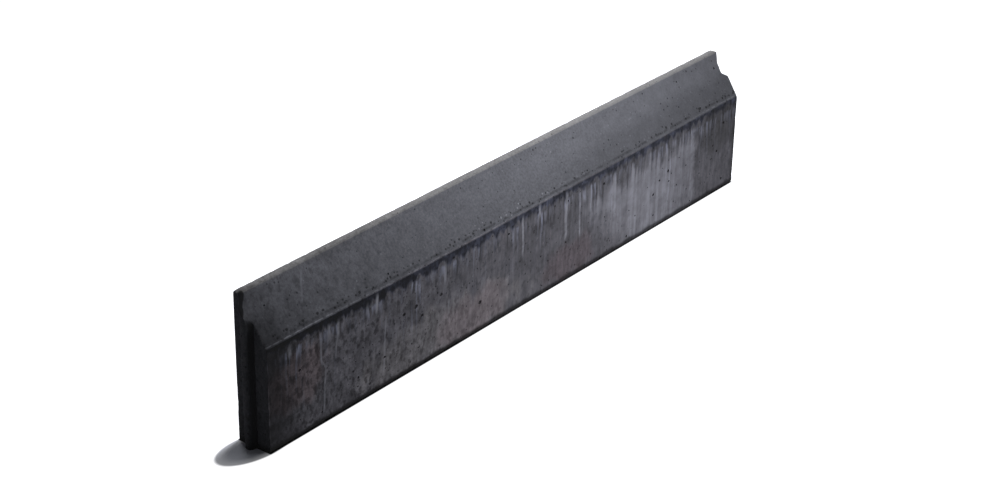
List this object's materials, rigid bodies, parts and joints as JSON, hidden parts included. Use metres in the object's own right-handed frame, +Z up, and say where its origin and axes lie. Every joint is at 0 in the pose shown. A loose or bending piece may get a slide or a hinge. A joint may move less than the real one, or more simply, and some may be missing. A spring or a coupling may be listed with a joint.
{
  "type": "concrete kerb stone",
  "caption": "Precast concrete kerb stone with a sloped face above an upright front, and a tongue and groove on its ends that lock a row together.",
  "frame": {"origin": "middle of the base, centred on the whole length with the tongue", "axes": "+X along the stone from the tongue end to the groove end, +Y from the front to the back face, +Z up from the base"},
  "size_m": [1.01, 0.05, 0.2],
  "materials": {
    "concrete": "matt anthracite cast concrete with fine pores and a pale lime bloom on the front"
  },
  "bodies": {
    "root": {"kerb_stone": "concrete"}
  },
  "joints": []
}
